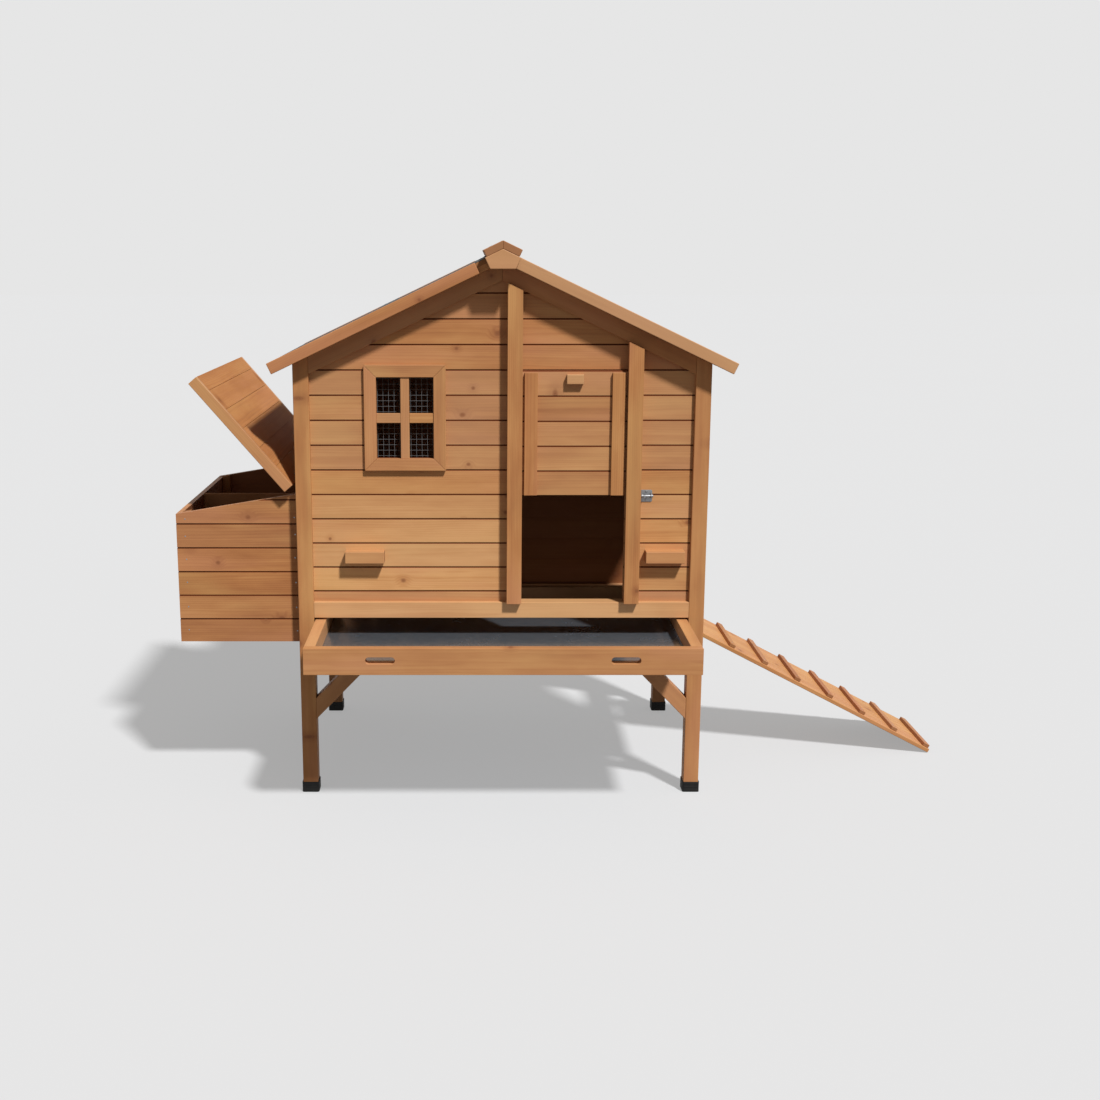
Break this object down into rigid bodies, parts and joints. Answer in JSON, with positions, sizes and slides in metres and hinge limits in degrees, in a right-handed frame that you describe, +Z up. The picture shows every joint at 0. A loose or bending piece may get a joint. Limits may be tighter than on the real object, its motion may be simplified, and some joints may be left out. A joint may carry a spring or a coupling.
{
  "type": "raised chicken coop",
  "caption": "Timber chicken coop on legs with pitched felt roof, guillotine doors, wire window, nest box with hinged lid, pull-out droppings tray and hinged ramp.",
  "frame": {"origin": "middle of the front left foot, on the ground", "axes": "+X to the right along the front, +Y into the depth, +Z up"},
  "size_m": [1.8875, 0.961, 1.3023],
  "materials": {
    "fir": "oiled honey fir, boards with knots, satin",
    "planed_fir": "oiled honey fir, planed battens, satin",
    "dark_fir": "oiled reddish fir, satin",
    "inner_fir": "bare fir inside the house",
    "rubber": "black moulded caps",
    "felt": "mineral-faced roofing felt",
    "zinc": "bright zinc plate",
    "galvanised_sheet": "galvanised sheet, smooth"
  },
  "bodies": {
    "root": {"leg_front_left": "fir", "leg_front_right": "fir", "leg_rear_left": "fir", "leg_rear_right": "fir", "foot_caps": "rubber", "base_rails": "fir", "leg_braces": "dark_fir", "tray_runners": "inner_fir", "front_sill": "planed_fir", "rake_rails": "fir", "side_top_rails": "fir", "front_siding": "fir", "rear_siding": "fir", "left_siding": "fir", "right_siding": "fir", "left_wall_stud": "inner_fir", "window_frame": "planed_fir", "window_muntins": "planed_fir", "window_mesh": "zinc", "front_door_guides": "planed_fir", "side_door_guides": "planed_fir", "bolt_cases": "zinc", "lifting_grips": "planed_fir", "perches": "inner_fir", "perch_holders": "inner_fir", "roof_rafters": "fir", "roof_boards_left": "fir", "roof_boards_right": "fir", "roofing_felt": "felt", "barge_boards": "fir", "gable_plates": "fir", "ridge_cap": "dark_fir", "nest_front": "fir", "nest_rear": "fir", "nest_end_wall": "fir", "nest_floor": "inner_fir", "nest_divider": "inner_fir", "nest_uprights": "inner_fir", "nest_ledger": "fir", "hinge_wall_leaves": "zinc"},
    "front_door": {"front_door_boards": "fir", "front_door_stiles": "planed_fir", "front_door_handle": "planed_fir"},
    "side_door": {"side_door_boards": "fir", "side_door_stiles": "planed_fir", "side_door_handle": "planed_fir"},
    "front_bolt": {"front_bolt_rod": "zinc"},
    "side_bolt": {"side_bolt_rod": "zinc"},
    "nest_lid": {"lid_boards": "fir", "lid_rims": "planed_fir", "lid_battens": "fir", "lid_hinge_leaves": "zinc"},
    "tray": {"tray_front": "planed_fir", "tray_sides": "planed_fir", "tray_rear": "planed_fir", "tray_pan": "galvanised_sheet"},
    "ramp": {"ramp_board": "fir", "ramp_cleats": "dark_fir", "ramp_hinge_leaves": "zinc"}
  },
  "joints": [
    {"name": "front_door_slide", "type": "slide", "parent": "root", "child": "front_door", "axis": [0, 0, 1], "range_m": [-0.253, 0]},
    {"name": "side_door_slide", "type": "slide", "parent": "root", "child": "side_door", "axis": [0, 0, 1], "range_m": [-0.258, 0]},
    {"name": "front_bolt_slide", "type": "slide", "parent": "root", "child": "front_bolt", "axis": [1, 0, 0], "range_m": [0, 0.012]},
    {"name": "side_bolt_slide", "type": "slide", "parent": "root", "child": "side_bolt", "axis": [0, 1, 0], "range_m": [0, 0.012]},
    {"name": "lid_hinge", "type": "hinge", "parent": "root", "child": "nest_lid", "pos_m": [-0.023, 0.307, 0.7458], "axis": [0, 1, 0], "range_deg": [-59.1, 26]},
    {"name": "tray_slide", "type": "slide", "parent": "root", "child": "tray", "axis": [0, 1, 0], "range_m": [-0.2, 0.25]},
    {"name": "ramp_hinge", "type": "hinge", "parent": "root", "child": "ramp", "pos_m": [0.94, 0.361, 0.3414], "axis": [0, -1, 0], "range_deg": [0, 111]}
  ]
}
